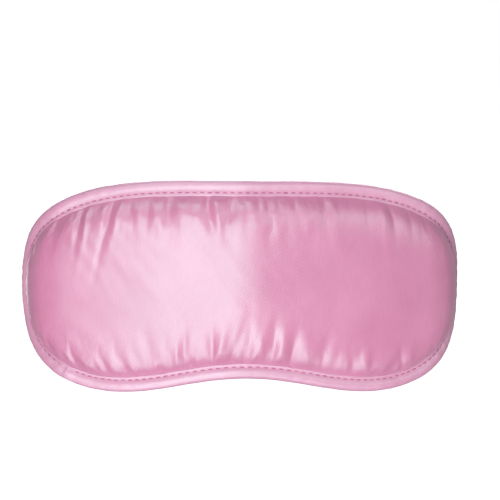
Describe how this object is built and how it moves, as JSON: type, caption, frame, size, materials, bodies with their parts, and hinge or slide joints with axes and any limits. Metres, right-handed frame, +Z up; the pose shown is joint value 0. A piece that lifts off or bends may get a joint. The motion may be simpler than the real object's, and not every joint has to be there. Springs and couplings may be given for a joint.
{
  "type": "sleep eye mask",
  "caption": "Padded satin sleep eye mask with a nose notch and a stitched bound edge, worn by an elastic head strap with a ring and a slider.",
  "frame": {"origin": "on the lining, at mid-height in the plane of symmetry, where the mask rests against the bridge of the nose", "axes": "+Z up, the front of the mask looks along -Y, +X is to the right for someone looking at the front, and the wearer's head is towards +Y"},
  "size_m": [0.1912, 0.1779, 0.0918],
  "materials": {
    "satin": "pink satin, glossy along the weave",
    "lining_satin": "pink satin, duller inner side",
    "binding_satin": "pink satin bias tape",
    "thread": "polyester thread, deeper pink",
    "wadding": "white polyester wadding",
    "blackout": "black opaque cloth",
    "elastic": "ribbed woven elastic, pink",
    "coated_hardware": "nylon-coated, glossy pink"
  },
  "bodies": {
    "mask": {"front_panel": "satin", "front_wadding": "wadding", "blackout_layer": "blackout", "back_wadding": "wadding", "lining": "lining_satin", "edge_binding": "binding_satin", "front_seam_thread": "thread", "back_seam_thread": "thread", "short_strap": "elastic", "long_strap": "elastic", "strap_return": "elastic", "strap_ring": "coated_hardware", "left_anchor_stitching": "thread", "right_anchor_stitching": "thread", "ring_loop_stitching": "thread"},
    "slider": {"strap_slider": "coated_hardware", "strap_end_loop": "elastic", "slider_loop_stitching": "thread"}
  },
  "joints": [
    {"name": "slider_travel", "type": "hinge", "parent": "mask", "child": "slider", "pos_m": [0, 0.08704, 0], "axis": [0, 0, 1], "range_deg": [-35, 28], "deforming": ["strap_return"]}
  ]
}
